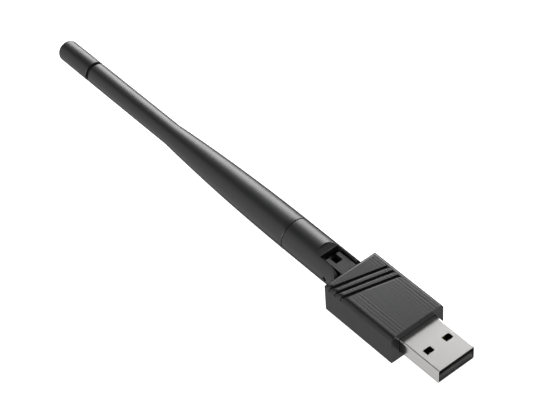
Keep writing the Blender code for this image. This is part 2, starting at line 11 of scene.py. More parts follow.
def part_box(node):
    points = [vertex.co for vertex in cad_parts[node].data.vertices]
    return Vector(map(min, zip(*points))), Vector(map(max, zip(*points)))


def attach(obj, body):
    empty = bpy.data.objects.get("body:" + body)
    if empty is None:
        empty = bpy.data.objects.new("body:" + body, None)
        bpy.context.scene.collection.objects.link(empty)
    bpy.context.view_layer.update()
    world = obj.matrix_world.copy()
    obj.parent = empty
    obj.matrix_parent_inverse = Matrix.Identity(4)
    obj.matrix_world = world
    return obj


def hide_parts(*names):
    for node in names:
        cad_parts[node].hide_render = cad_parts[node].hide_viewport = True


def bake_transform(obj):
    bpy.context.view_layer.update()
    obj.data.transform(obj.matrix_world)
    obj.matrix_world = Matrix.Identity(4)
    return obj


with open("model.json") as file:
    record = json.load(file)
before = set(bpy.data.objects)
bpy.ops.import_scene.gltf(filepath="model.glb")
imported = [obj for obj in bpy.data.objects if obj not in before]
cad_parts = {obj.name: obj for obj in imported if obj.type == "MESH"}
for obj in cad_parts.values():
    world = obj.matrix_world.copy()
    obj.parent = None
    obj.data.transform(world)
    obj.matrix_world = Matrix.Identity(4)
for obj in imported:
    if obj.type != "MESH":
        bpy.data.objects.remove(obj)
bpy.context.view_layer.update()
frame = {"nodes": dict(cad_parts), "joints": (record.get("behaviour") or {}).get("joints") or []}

MM = 0.001
BODY = "adapter_body"
ANTENNA = "antenna"
ZERO = Vector((0.0, 0.0, 0.0))

# Frame values, read from the CAD model
PIN = Vector(frame["joints"][0]["pos_m"])
SHELL_LOW, SHELL_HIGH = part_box("housing_shell")
PLUG_LOW, PLUG_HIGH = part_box("usb_shell")
COVER_LOW, COVER_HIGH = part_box("bottom_cover")
KNUCKLE_LOW, KNUCKLE_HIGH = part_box("antenna_knuckle")
SLEEVE_LOW, SLEEVE_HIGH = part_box("antenna_sleeve")
CAP_LOW, CAP_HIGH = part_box("tip_cap")
FRONT_X = SHELL_HIGH.x
UNDERSIDE = SHELL_LOW.z
CROWN = SHELL_HIGH.z
HALF_BODY = SHELL_HIGH.y

# Body details
BODY_LENGTH = 24.85 * MM
REAR_X = FRONT_X - BODY_LENGTH
SHOULDER_WIDTH = 1.3 * MM
SHOULDER_DROP = 1.5 * MM
SHOULDER_SWEEP = math.radians(72.0)
REAR_CORNER = 0.7 * MM
SIDE_WALL = 1.1 * MM
END_WALL = 1.2 * MM
ROOF_WALL = 1.5 * MM
FIT_GAP = 0.1 * MM
SLIM_GAP = 0.05 * MM
GROOVE_COUNT = 3
GROOVE_FIRST_X = -20.75 * MM
GROOVE_PITCH = 2.1 * MM
GROOVE_DEPTH = 0.6 * MM
GROOVE_FLOOR = 0.25 * MM
GROOVE_LENGTH = 1.35 * MM
GROOVE_SLANT = math.radians(15.0)
GROOVE_RIGHT_END = 7.1 * MM
HOOK_DROP = 1.25 * MM
HOOK_TURN = 0.75 * MM
HOOK_LINE = 0.25 * MM
HOOK_DEPTH = 0.4 * MM
HOOK_OVERLAP = 0.1 * MM
TOP_FINISH_START = 2.6 * MM
TOP_FINISH_TILT = 0.35
RISER_OVERLAP = 0.5 * MM
COVER_THICKNESS = 1.0 * MM

# Plug details
PLUG_WALL = 0.3 * MM
PLUG_BEND = 0.45 * MM
PLUG_BEND_INSIDE = 0.2 * MM
PLUG_SEAM = 0.1 * MM
WINDOW_LENGTH = 1.8 * MM
WINDOW_WIDTH = 2.4 * MM
WINDOW_X = 7.2 * MM
WINDOW_Y = 3.1 * MM

# Hinge details, measured from the pin axis
TONGUE_HALF_WIDTH = 2.35 * MM
TONGUE_HALF_HEIGHT = 3.15 * MM
TONGUE_REACH = 2.5 * MM
TONGUE_CORNER = 0.35 * MM
NOTCH_HALF_WIDTH = 1.15 * MM
NOTCH_BOTTOM = 0.4 * MM
PIN_SEAT_RADIUS = 0.70 * MM
PIN_EAR_RADIUS = 0.67 * MM
COAX_RADIUS = 0.565 * MM
COAX_CHANNEL = 0.75 * MM
WASHER_HOLE = 0.75 * MM
EAR_RADIUS = 4.0 * MM
EAR_SWEEP = 80.0
SLOT_HALF_WIDTH = 3.0 * MM
SLOT_END = -3.7 * MM
SLOT_BACK_RADIUS = 4.1 * MM
LAND_END = -3.9 * MM
LAND_HEIGHT = 3.95 * MM
SCOOP_END = -5.4 * MM
SCOOP_HEIGHT = 4.5 * MM
FACET_END = -5.65 * MM
FACET_OVERLAP = 0.2 * MM

# Antenna details, measured back from the pin axis
KNUCKLE_RADIUS = KNUCKLE_HIGH.z - PIN.z
SEAM_X = -16.65 * MM
SPIGOT_RADIUS = 4.0 * MM
CORE_RADIUS = 2.6 * MM
CORE_START = -12.0 * MM
CORE_BORE = 0.8 * MM
SOCKET_RADIUS = 4.1 * MM
SOCKET_END = -23.2 * MM
TAPER_START = -17.0 * MM
TAPER_END = -69.0 * MM
TIP_RADIUS = CAP_HIGH.z - PIN.z
SLEEVE_WALL = 1.0 * MM
TIP_ROUNDING = 1.6 * MM
RING_WIDTH = 1.1 * MM
TIP_SPIGOT_RADIUS = 2.05 * MM
EDGE = 0.12 * MM

# Repeated pieces
CONTACT_COUNT = 4
CAPACITOR_COUNT = 6

# Coax: its rise inside the body is measured from the front face, its stretch past the pivot from the pin axis
COAX_RISE_START = -17.6 * MM
COAX_RISE_END = -22.0 * MM
COAX_FLEX_START = 3.0 * MM
COAX_FLEX_END = -6.0 * MM

# Edge rounding
HOUSING_EDGE = 0.1 * MM
COVER_EDGE = 0.08 * MM
PLUG_EDGE = 0.035 * MM
INSULATOR_EDGE = 0.04 * MM
CONTACT_EDGE = 0.03 * MM
KNUCKLE_EDGE = 0.05 * MM
PIN_EDGE = 0.06 * MM
WASHER_EDGE = 0.05 * MM

# Mesh fineness, and how far a cutter runs past what it cuts
ROUND = 96
SMALL_ROUND = 32
PIN_ROUND = 40
WASHER_ROUND = 48
COAX_ROUND = 20
OVERSHOOT = 1.0 * MM
HINGE_CUT_REACH = 4.0 * MM
KNUCKLE_CUT_REACH = 6.0 * MM
MERGE_DISTANCE = 0.002 * MM
FLAT_ANGLE = math.radians(0.5)

# Finishes: noise scales per metre, bump depths, and the range that noise mostly lies in
NOISE_SPREAD = (0.3, 0.7)
PATCH_SCALE = 260.0
GRAIN_SCALE = 9000.0
GRAIN_DEPTH = 0.004 * MM
RIB_PITCH = 0.9 * MM
RIB_DEPTH = 0.014 * MM
RIB_FADE = (2.4 * MM, 5.5 * MM)
RIB_SHARE = (0.15, 1.0)
RIB_PATCH_SCALE = 900.0
STREAK_SCALE = 7000.0
STREAK_DEPTH = 0.006 * MM
BRUSH_SCALE = 12000.0
BRUSH_DEPTH = 0.0012 * MM
BRUSH_PATCH_SCALE = 180.0
BODY_SPECULAR = 0.3
BODY_ROUGHNESS = (0.36, 0.42)
TINNED_END = 0.27
TRACK_SCALE = 420.0
TRACK_DEPTH = 0.02 * MM

# Camera: aimed at a point in the air above the hinge end and left of it, with the picture slightly rolled
CAMERA_AIM = Vector((28.39, -13.52, 28.58)) * MM
CAMERA_AZIMUTH = math.radians(53.66)
CAMERA_ELEVATION = math.radians(44.64)
CAMERA_ROLL = math.radians(-4.77)
CAMERA_DISTANCE = 450.0 * MM
CAMERA_LENS = 125.06
CAMERA_SENSOR = 36.0
CAMERA_CLIP = 0.01

# Softboxes: name, direction from the object, distance in metres, half width and height in degrees, radiance
SOFTBOXES = (
    ("key", (-0.573, 0.717, 0.397), 2.5, 22, 19, 7.3),
    ("top_card", (-0.573, 0.307, 0.760), 1.5, 35, 17, 0.5),
    ("left_card", (-0.573, -0.807, -0.142), 1.5, 35, 49, 0.72),
    ("front_fill", (0.30, -0.94, 0.15), 1.5, 18, 18, 13.0),
    ("floor_bounce", (0.573, 0.42, -0.70), 1.5, 20, 20, 0.9),
    ("front_top_card", (0.573, 0.42, 0.70), 1.5, 20, 20, 0.9),
)
WORLD_STRENGTH = 0.08
FLOOR_HALF_SIDE = 3.0
FLOOR_UNDERSIDE = -0.02
FLOOR_TOP = -0.0001


# ---- mesh helpers ----

def finish_mesh(name, build):
    bmesh.ops.recalc_face_normals(build, faces=build.faces)
    mesh = bpy.data.meshes.new(name)
    build.to_mesh(mesh)
    build.free()
    return mesh


def link_mesh(name, mesh, origin=ZERO):
    item = bpy.data.objects.new(name, mesh)
    item.location = origin
    bpy.context.scene.collection.objects.link(item)
    return item


def prism(name, axis, outline, low, high, origin=ZERO):
    """Extrude an outline along X (points y, z), Y (points x, z) or Z (points x, y)."""
    place = {
        "X": lambda a, b, t: (t, a, b),
        "Y": lambda a, b, t: (a, t, b),
        "Z": lambda a, b, t: (a, b, t),
    }[axis]
    build = bmesh.new()
    near = [build.verts.new(place(a, b, low)) for a, b in outline]
    far = [build.verts.new(place(a, b, high)) for a, b in outline]
    build.faces.new(near)
    build.faces.new(far)
    for i in range(len(outline)):
        j = (i + 1) % len(outline)
        build.faces.new((near[i], near[j], far[j], far[i]))
    return link_mesh(name, finish_mesh(name, build), origin)


def block(name, low, high, origin=ZERO):
    outline = [(low[0], low[2]), (high[0], low[2]), (high[0], high[2]), (low[0], high[2])]
    return prism(name, "Y", outline, low[1], high[1], origin)


def lathe(name, profile, segments, origin):
    """Turn (x, radius) points about the X axis; a profile that never meets the axis closes on itself."""
    build = bmesh.new()
    rings = []
    for x, radius in profile:
        count = segments if radius > 0 else 1
        ring = []
        for i in range(count):
            angle = 2 * math.pi * i / segments
            ring.append(build.verts.new((x, radius * math.cos(angle), radius * math.sin(angle))))
        rings.append(ring)
    pairs = list(zip(rings, rings[1:]))
    if len(rings[0]) > 1:
        pairs.append((rings[-1], rings[0]))
    for first, second in pairs:
        for i in range(segments):
            j = (i + 1) % segments
            corners = [first[i % len(first)], first[j % len(first)],
                       second[j % len(second)], second[i % len(second)]]
            build.faces.new(list(dict.fromkeys(corners)))
    return link_mesh(name, finish_mesh(name, build), origin)


def circle(radius, segments):
    points = []
    for i in range(segments):
        angle = 2 * math.pi * i / segments
        points.append((radius * math.cos(angle), radius * math.sin(angle)))
    return points


def arc(centre, radius, start, end, steps):
    points = []
    for i in range(steps + 1):
        angle = math.radians(start + (end - start) * i / steps)
        points.append((centre[0] + radius * math.cos(angle), centre[1] + radius * math.sin(angle)))
    return points


def combine(target, tool, operation="DIFFERENCE"):
    """Apply a Boolean and remove the tool."""
    modifier = target.modifiers.new("cut", "BOOLEAN")
    modifier.operation = operation
    modifier.solver = "EXACT"
    modifier.object = tool
    bake_modifiers(target)
    bpy.data.objects.remove(tool, do_unlink=True)


def bake_modifiers(item):
    bpy.context.view_layer.update()
    graph = bpy.context.evaluated_depsgraph_get()
    mesh = bpy.data.meshes.new_from_object(item.evaluated_get(graph))
    old = item.data
    item.modifiers.clear()
    item.data = mesh
    mesh.name = item.name
    bpy.data.meshes.remove(old)


def soften(item, width, angle=40):
    """Round every edge sharper than the angle, and shade the flats flat."""
    build = bmesh.new()
    build.from_mesh(item.data)
    bmesh.ops.remove_doubles(build, verts=build.verts, dist=MERGE_DISTANCE)
    bmesh.ops.dissolve_limit(build, angle_limit=FLAT_ANGLE, verts=build.verts, edges=build.edges)
    build.to_mesh(item.data)
    build.free()
    bevel = item.modifiers.new("edges", "BEVEL")
    bevel.width = width
    bevel.segments = 2
    bevel.limit_method = "ANGLE"
    bevel.angle_limit = math.radians(angle)
    bevel.use_clamp_overlap = True
    bake_modifiers(item)
    shade(item, 50)
    weighted = item.modifiers.new("normals", "WEIGHTED_NORMAL")
    weighted.keep_sharp = True


def shade(item, angle):
    item.data.shade_smooth()
    item.data.set_sharp_from_angle(angle=math.radians(angle))


# ---- material helpers ----

def new_material(name):
    material = bpy.data.materials.new(name)
    material.use_nodes = True
    nodes = material.node_tree.nodes
    return material, nodes, material.node_tree.links, nodes["Principled BSDF"]


def object_coordinates(nodes, links, scale):
    """Object coordinates stretched by a scale per axis."""
    place = nodes.new("ShaderNodeTexCoord")
    stretch = nodes.new("ShaderNodeMapping")
    stretch.inputs["Scale"].default_value = scale
    links.new(place.outputs["Object"], stretch.inputs["Vector"])
    return stretch.outputs["Vector"]


def noise(nodes, links, vector, scale, detail=3.0):
    texture = nodes.new("ShaderNodeTexNoise")
    texture.inputs["Scale"].default_value = scale
    texture.inputs["Detail"].default_value = detail
    links.new(vector, texture.inputs["Vector"])
    return texture.outputs["Fac"]


def map_range(nodes, links, value, source, target):
    """Map a value from the source range to the target range, held at its ends."""
    node = nodes.new("ShaderNodeMapRange")
    for label, number in zip(("From Min", "From Max", "To Min", "To Max"), (*source, *target)):
        node.inputs[label].default_value = number
    links.new(value, node.inputs["Value"])
    return node.outputs["Result"]


def calculate(nodes, links, operation, value, other=None):
    """A Math node on a value and, where the operation takes one, a second value or number."""
    node = nodes.new("ShaderNodeMath")
    node.operation = operation
    links.new(value, node.inputs[0])
    if isinstance(other, float):
        node.inputs[1].default_value = other
    elif other is not None:
        links.new(other, node.inputs[1])
    return node.outputs[0]


def tint(nodes, links, factor, first, second):
    node = nodes.new("ShaderNodeMix")
    node.data_type = "RGBA"
    node.inputs["A"].default_value = (*first, 1.0)
    node.inputs["B"].default_value = (*second, 1.0)
    links.new(factor, node.inputs["Factor"])
    return node.outputs["Result"]


def bump(nodes, links, height, distance, under=None):
    """A bump of the given depth, on top of another bump if there is one."""
    node = nodes.new("ShaderNodeBump")
    node.inputs["Distance"].default_value = distance
    node.inputs["Strength"].default_value = 1.0
    links.new(height, node.inputs["Height"])
    if under is not None:
        links.new(under, node.inputs["Normal"])
    return node.outputs["Normal"]


def grained(name, first, second, rough, grain=GRAIN_DEPTH, grain_scale=GRAIN_SCALE, specular=0.5):
    """A moulded surface: slight colour and gloss variation, and a fine grain in the bump."""
    material, nodes, links, shader = new_material(name)
    plain = object_coordinates(nodes, links, (1.0, 1.0, 1.0))
    broad = noise(nodes, links, plain, PATCH_SCALE)
    fine = noise(nodes, links, plain, grain_scale, 2.0)
    links.new(tint(nodes, links, broad, first, second), shader.inputs["Base Color"])
    links.new(map_range(nodes, links, broad, NOISE_SPREAD, rough), shader.inputs["Roughness"])
    links.new(bump(nodes, links, fine, grain), shader.inputs["Normal"])
    shader.inputs["Specular IOR Level"].default_value = specular
    return material


def ribbed(name, first, second, rough):
    """The body's top: uneven lengthwise ribs, clearest towards its sides, over a fine streaked grain."""
    material, nodes, links, shader = new_material(name)
    plain = object_coordinates(nodes, links, (1.0, 1.0, 1.0))
    across = object_coordinates(nodes, links, (0.01, 1.0, 0.0))
    lengthwise = object_coordinates(nodes, links, (0.02, 1.0, 0.3))
    split = nodes.new("ShaderNodeSeparateXYZ")
    links.new(plain, split.inputs["Vector"])
    phase = calculate(nodes, links, "MULTIPLY", split.outputs["Y"], 2 * math.pi / RIB_PITCH)
    wave = calculate(nodes, links, "SINE", phase)
    patches = noise(nodes, links, across, RIB_PATCH_SCALE, 4.0)
    uneven = map_range(nodes, links, patches, NOISE_SPREAD, (0.0, 1.0))
    depth = calculate(nodes, links, "MULTIPLY", wave, uneven)
    aside = calculate(nodes, links, "ABSOLUTE", split.outputs["Y"])
    near_sides = map_range(nodes, links, aside, RIB_FADE, RIB_SHARE)
    faded = calculate(nodes, links, "MULTIPLY", depth, near_sides)
    streaks = noise(nodes, links, lengthwise, STREAK_SCALE)
    streak_share = map_range(nodes, links, streaks, NOISE_SPREAD, (0.0, 1.0))
    broad = noise(nodes, links, plain, PATCH_SCALE)
    links.new(tint(nodes, links, streak_share, first, second), shader.inputs["Base Color"])
    links.new(map_range(nodes, links, broad, NOISE_SPREAD, rough), shader.inputs["Roughness"])
    ribs = bump(nodes, links, faded, RIB_DEPTH)
    links.new(bump(nodes, links, streaks, STREAK_DEPTH, under=ribs), shader.inputs["Normal"])
    shader.inputs["Specular IOR Level"].default_value = BODY_SPECULAR
    return material


def brushed(name, first, second, rough, direction=(0.03, 1.0, 1.0), depth=BRUSH_DEPTH):
    """Bare or plated metal with a fine brushed grain, drawn out along the axis with the small scale."""
    material, nodes, links, shader = new_material(name)
    grain = noise(nodes, links, object_coordinates(nodes, links, direction), BRUSH_SCALE, 4.0)
    broad = noise(nodes, links, object_coordinates(nodes, links, (1.0, 1.0, 1.0)), BRUSH_PATCH_SCALE)
    links.new(tint(nodes, links, broad, first, second), shader.inputs["Base Color"])
    links.new(map_range(nodes, links, grain, NOISE_SPREAD, rough), shader.inputs["Roughness"])
    links.new(bump(nodes, links, grain, depth), shader.inputs["Normal"])
    shader.inputs["Metallic"].default_value = 1.0
    return material


def capacitor_material(name):
    """Brown ceramic with tinned ends, told apart along the chip's length."""
    material, nodes, links, shader = new_material(name)
    place = nodes.new("ShaderNodeTexCoord")
    split = nodes.new("ShaderNodeSeparateXYZ")
    links.new(place.outputs["Generated"], split.inputs["Vector"])
    centred = calculate(nodes, links, "SUBTRACT", split.outputs["X"], 0.5)
    from_middle = calculate(nodes, links, "ABSOLUTE", centred)
    ends = calculate(nodes, links, "GREATER_THAN", from_middle, TINNED_END)
    colour = tint(nodes, links, ends, (0.32, 0.2, 0.12), (0.7, 0.7, 0.68))
    links.new(colour, shader.inputs["Base Color"])
    links.new(ends, shader.inputs["Metallic"])
    shader.inputs["Roughness"].default_value = 0.4
    return material


def board_material(name):
    """Green solder mask over copper tracks."""
    material, nodes, links, shader = new_material(name)
    plain = object_coordinates(nodes, links, (1.0, 1.0, 1.0))
    cells = nodes.new("ShaderNodeTexBrick")
    cells.inputs["Scale"].default_value = TRACK_SCALE
    cells.inputs["Mortar Size"].default_value = 0.06
    cells.inputs["Color1"].default_value = (0.012, 0.10, 0.045, 1.0)
    cells.inputs["Color2"].default_value = (0.012, 0.12, 0.05, 1.0)
    cells.inputs["Mortar"].default_value = (0.03, 0.2, 0.08, 1.0)
    links.new(plain, cells.inputs["Vector"])
    links.new(cells.outputs["Color"], shader.inputs["Base Color"])
    links.new(bump(nodes, links, cells.outputs["Fac"], TRACK_DEPTH), shader.inputs["Normal"])
    shader.inputs["Roughness"].default_value = 0.35
    return material


# ---- body pieces ----

def shoulder_curve(corner):
    """Part of an ellipse, from an upright face at the corner's value up to a crease at the crown."""
    points = []
    steps = 12
    for i in range(steps + 1):
        angle = SHOULDER_SWEEP * i / steps
        inward = SHOULDER_WIDTH * (1 - math.cos(angle)) / (1 - math.cos(SHOULDER_SWEEP))
        below = SHOULDER_DROP * (1 - math.sin(angle) / math.sin(SHOULDER_SWEEP))
        points.append((corner - inward, CROWN - below))
    return points


def body_outline():
    """Cross-section of the body: flat sides and underside, rounded along both top edges."""
    right = shoulder_curve(HALF_BODY)
    left = [(-y, z) for y, z in reversed(right)]
    return [(-HALF_BODY, UNDERSIDE), (HALF_BODY, UNDERSIDE)] + right + left


def side_outline():
    """The body from the side: its top edge is rounded at the rear, and it runs on past the front."""
    rear = [(-x, z) for x, z in shoulder_curve(-REAR_X)]
    front = FRONT_X + OVERSHOOT
    low = UNDERSIDE - OVERSHOOT
    return [(front, low), (REAR_X, low)] + rear + [(front, CROWN)]


def plan_outline():
    """The body from above: rounded at the two rear corners, and wider and longer than it elsewhere."""
    beyond = HALF_BODY + OVERSHOOT
    front = FRONT_X + OVERSHOOT
    middle = REAR_X + REAR_CORNER
    outline = [(front, -beyond), (front, beyond), (middle, beyond)]
    outline += arc((middle, HALF_BODY - REAR_CORNER), REAR_CORNER, 90, 180, 6)
    outline += arc((middle, REAR_CORNER - HALF_BODY), REAR_CORNER, 180, 270, 6)
    outline.append((middle, -beyond))
    return outline


def half_tongue(side):
    """The upper (1) or lower (-1) half of the tongue, which starts inside the rear wall."""
    root = REAR_X - PIN.x + END_WALL / 2
    centre = (TONGUE_CORNER - TONGUE_REACH, TONGUE_HALF_HEIGHT - TONGUE_CORNER)
    outline = [(root, SLIM_GAP), (root, TONGUE_HALF_HEIGHT)]
    outline += arc(centre, TONGUE_CORNER, 90, 180, 8)
    outline.append((-TONGUE_REACH, SLIM_GAP))
    outline = [(x, side * z) for x, z in outline]
    return prism("tongue", "Y", outline, -TONGUE_HALF_WIDTH, TONGUE_HALF_WIDTH, PIN)


def cut_tongue_openings(target):
    """Cut the notch, the coax channel and the pin seat that both halves of the tongue share."""
    far = HINGE_CUT_REACH
    notch_end = -TONGUE_REACH - OVERSHOOT
    notch_low = (notch_end, -NOTCH_HALF_WIDTH, -far)
    notch_high = (NOTCH_BOTTOM, NOTCH_HALF_WIDTH, far)
    combine(target, block("notch", notch_low, notch_high, PIN))
    channel_end = REAR_X - PIN.x + END_WALL + OVERSHOOT
    combine(target, prism("channel", "X", circle(COAX_CHANNEL, SMALL_ROUND), notch_end, channel_end, PIN))
    combine(target, prism("seat", "Y", circle(PIN_SEAT_RADIUS, SMALL_ROUND), -far, far, PIN))


def groove_cutter(x):
    """A slanted wedge: an upright wall on the antenna side, a narrow floor, and a ramp towards the plug."""
    build = bmesh.new()
    above = GROOVE_DEPTH
    ramp_over = GROOVE_FLOOR + 2 * (GROOVE_LENGTH - GROOVE_FLOOR)
    section = [(0.0, above), (0.0, -GROOVE_DEPTH), (GROOVE_FLOOR, -GROOVE_DEPTH), (ramp_over, above)]
    rows = []
    for y in (-HALF_BODY - OVERSHOOT, GROOVE_RIGHT_END):
        shift = FRONT_X + x + y * math.tan(GROOVE_SLANT)
        rows.append([build.verts.new((shift + along, y, CROWN + up)) for along, up in section])
    near, far = rows
    build.faces.new(near)
    build.faces.new(far)
    for i in range(len(section)):
        j = (i + 1) % len(section)
        build.faces.new((near[i], near[j], far[j], far[i]))
    return link_mesh("groove", finish_mesh("groove", build))


def groove_hook(x):
    """The thin line that runs down from a groove's left end and turns towards the plug."""
    start = FRONT_X + x - HALF_BODY * math.tan(GROOVE_SLANT)
    top = CROWN - GROOVE_DEPTH + HOOK_OVERLAP
    bottom = CROWN - HOOK_DROP
    outline = [
        (start, top),
        (start, bottom),
        (start + HOOK_TURN, bottom),
        (start + HOOK_TURN, bottom + HOOK_LINE),
        (start + HOOK_LINE, bottom + HOOK_LINE),
        (start + HOOK_LINE, top),
    ]
    return prism("hook", "Y", outline, -HALF_BODY - OVERSHOOT, HOOK_DEPTH - HALF_BODY)


def rounded_body():
    """The body's outer block, rounded along both sides and the rear, and at its rear corners."""
    beyond = HALF_BODY + OVERSHOOT
    shell = prism("housing", "X", body_outline(), REAR_X, FRONT_X)
    combine(shell, prism("side", "Y", side_outline(), -beyond, beyond), "INTERSECT")
    low = UNDERSIDE - OVERSHOOT
    high = CROWN + OVERSHOOT
    combine(shell, prism("plan", "Z", plan_outline(), low, high), "INTERSECT")
    return shell


def hollow_out(shell):
    """Cut the cavity, the plug's opening and the notch for the cover's riser."""
    inner = HALF_BODY - SIDE_WALL
    cavity_low = (REAR_X + END_WALL, -inner, UNDERSIDE - OVERSHOOT)
    cavity_high = (FRONT_X - END_WALL, inner, CROWN - ROOF_WALL)
    combine(shell, block("cavity", cavity_low, cavity_high))
    gap = Vector((0, FIT_GAP, FIT_GAP))
    window_low = PLUG_LOW - gap
    window_high = PLUG_HIGH + gap
    window_low.x = FRONT_X - END_WALL - OVERSHOOT
    window_high.x = FRONT_X + OVERSHOOT
    combine(shell, block("window", window_low, window_high))
    riser = TONGUE_HALF_WIDTH + FIT_GAP
    riser_low = (REAR_X - OVERSHOOT, -riser, UNDERSIDE - OVERSHOOT)
    riser_high = (REAR_X + END_WALL + RISER_OVERLAP, riser, PIN.z + SLIM_GAP)
    combine(shell, block("riser", riser_low, riser_high))


def make_housing(side_material, top_material):
    shell = rounded_body()
    combine(shell, half_tongue(1), "UNION")
    hollow_out(shell)
    cut_tongue_openings(shell)
    for i in range(GROOVE_COUNT):
        x = GROOVE_FIRST_X + i * GROOVE_PITCH
        combine(shell, groove_cutter(x))
        combine(shell, groove_hook(x))
    soften(shell, HOUSING_EDGE)
    assign_by_height(shell, side_material, top_material)
    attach(shell, BODY)
    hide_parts("housing_shell")


def assign_by_height(item, side_material, top_material):
    """Give the faces that look up, near the crown, the ribbed finish."""
    item.data.materials.clear()
    item.data.materials.append(side_material)
    item.data.materials.append(top_material)
    lowest = PIN.z + TOP_FINISH_START
    for face in item.data.polygons:
        looks_up = face.normal.z > TOP_FINISH_TILT and face.center.z > lowest
        face.material_index = 1 if looks_up else 0


def make_cover(material):
    """A flat plate that closes the shell; a riser at its rear carries the tongue's lower half."""
    rear = REAR_X + END_WALL + FIT_GAP
    plate_low = (rear, COVER_LOW.y, COVER_LOW.z)
    plate_high = (COVER_HIGH.x, COVER_HIGH.y, COVER_LOW.z + COVER_THICKNESS)
    cover = block("underside_cover", plate_low, plate_high)
    riser_low = (REAR_X, -TONGUE_HALF_WIDTH, COVER_LOW.z)
    riser_high = (rear + RISER_OVERLAP, TONGUE_HALF_WIDTH, PIN.z - SLIM_GAP)
    combine(cover, block("cover_riser", riser_low, riser_high), "UNION")
    combine(cover, half_tongue(-1), "UNION")
    cut_tongue_openings(cover)
    soften(cover, COVER_EDGE)
    cover.data.materials.append(material)
    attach(cover, BODY)
    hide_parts("bottom_cover")


# ---- plug pieces ----

def rounded_rectangle(half_width, low, high, radius):
    steps = 6
    outline = arc((half_width - radius, high - radius), radius, 0, 90, steps)
    outline += arc((radius - half_width, high - radius), radius, 90, 180, steps)
    outline += arc((radius - half_width, low + radius), radius, 180, 270, steps)
    outline += arc((half_width - radius, low + radius), radius, 270, 360, steps)
    return outline


def make_plug_shell(material):
    """A folded box with two latch windows above and below, and its seam along the underside."""
    half = PLUG_HIGH.y
    low = PLUG_LOW.z
    high = PLUG_HIGH.z
    rear = PLUG_LOW.x - OVERSHOOT
    front = PLUG_HIGH.x + OVERSHOOT
    outer = rounded_rectangle(half, low, high, PLUG_BEND)
    inner = rounded_rectangle(half - PLUG_WALL, low + PLUG_WALL, high - PLUG_WALL, PLUG_BEND_INSIDE)
    shell = prism("plug_shell", "X", outer, PLUG_LOW.x, PLUG_HIGH.x)
    combine(shell, prism("bore", "X", inner, rear, front))
    x = FRONT_X + WINDOW_X
    for y in (-WINDOW_Y, WINDOW_Y):
        window_low = (x - WINDOW_LENGTH / 2, y - WINDOW_WIDTH / 2, low - OVERSHOOT)
        window_high = (x + WINDOW_LENGTH / 2, y + WINDOW_WIDTH / 2, high + OVERSHOOT)
        combine(shell, block("window", window_low, window_high))
    seam_low = (rear, -PLUG_SEAM / 2, low - OVERSHOOT)
    seam_high = (front, PLUG_SEAM / 2, low + 1.5 * PLUG_WALL)
    combine(shell, block("seam", seam_low, seam_high))
    soften(shell, PLUG_EDGE, angle=50)
    shell.data.materials.append(material)
    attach(shell, BODY)
    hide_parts("usb_shell")


def softened_copy(node, name, body, material, width):
    """A copy of a CAD node with softly rounded edges, which stands for it."""
    item = link_mesh(name, frame["nodes"][node].data.copy())
    item.data.materials.clear()
    soften(item, width)
    item.data.materials.append(material)
    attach(item, body)
    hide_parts(node)


def soften_plug_inside(insulator, gold):
    softened_copy("usb_insulator", "plug_insulator", BODY, insulator, INSULATOR_EDGE)
    for i in range(CONTACT_COUNT):
        node = f"usb_contact_{i + 1}"
        softened_copy(node, f"plug_contact_{i + 1}", BODY, gold, CONTACT_EDGE)


# ---- antenna pieces ----

def slot_outline(beyond):
    """Side view of the fork's slot: its end wall is hollowed about the pin, so the tongue can swing by."""
    half_hollow = math.degrees(math.acos(SLOT_END / -SLOT_BACK_RADIUS))
    hollow = arc((0.0, 0.0), SLOT_BACK_RADIUS, 180 - half_hollow, 180 + half_hollow, 16)
    return [(beyond, beyond), (SLOT_END, beyond)] + hollow + [(SLOT_END, -beyond), (beyond, -beyond)]


def facet_outline(beyond):
    """Side view of what is cut away above the slot's end: a narrow land, a shallow scoop and a steep rise."""
    rise = (KNUCKLE_RADIUS - SCOOP_HEIGHT) / (SCOOP_END - FACET_END)
    front = SLOT_END + FACET_OVERLAP
    back = FACET_END - FACET_OVERLAP
    return [
        (front, LAND_HEIGHT),
        (LAND_END, LAND_HEIGHT),
        (SCOOP_END, SCOOP_HEIGHT),
        (back, KNUCKLE_RADIUS + FACET_OVERLAP * rise),
        (back, beyond),
        (front, beyond),
    ]


def make_knuckle(material):
    """A round fork with slot and facet; the ears are rounded above the pin and keep square lower corners."""
    back = KNUCKLE_LOW.x - PIN.x
    profile = [(EAR_RADIUS, KNUCKLE_RADIUS)]
    profile += arc((SEAM_X + EDGE, KNUCKLE_RADIUS - EDGE), EDGE, 90, 180, 4)
    profile += [(SEAM_X, SPIGOT_RADIUS), (back, SPIGOT_RADIUS), (back, CORE_RADIUS),
                (CORE_START, CORE_RADIUS), (CORE_START, CORE_BORE), (EAR_RADIUS, CORE_BORE)]
    knuckle = lathe("fork_knuckle", profile, ROUND, PIN)
    far = KNUCKLE_CUT_REACH
    combine(knuckle, prism("slot", "Y", slot_outline(far), -SLOT_HALF_WIDTH, SLOT_HALF_WIDTH, PIN))
    combine(knuckle, prism("facet", "Y", facet_outline(far), -far, far, PIN))
    start = (EAR_RADIUS * math.cos(math.radians(EAR_SWEEP)), far)
    ear = arc((0.0, 0.0), EAR_RADIUS, 0, EAR_SWEEP, 24) + [start, (far, far), (far, 0.0)]
    combine(knuckle, prism("ear", "Y", ear, -far, far, PIN))
    combine(knuckle, prism("bore", "Y", circle(PIN_EAR_RADIUS, SMALL_ROUND), -far, far, PIN))
    soften(knuckle, KNUCKLE_EDGE, angle=25)
    knuckle.data.materials.append(material)
    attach(knuckle, ANTENNA)
    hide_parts("antenna_knuckle")


def sleeve_radius(x):
    """The knuckle's radius at first, then narrowing along a parabola to the tip's radius."""
    share = min(max((TAPER_START - x) / (TAPER_START - TAPER_END), 0.0), 1.0)
    return KNUCKLE_RADIUS - (KNUCKLE_RADIUS - TIP_RADIUS) * share ** 2


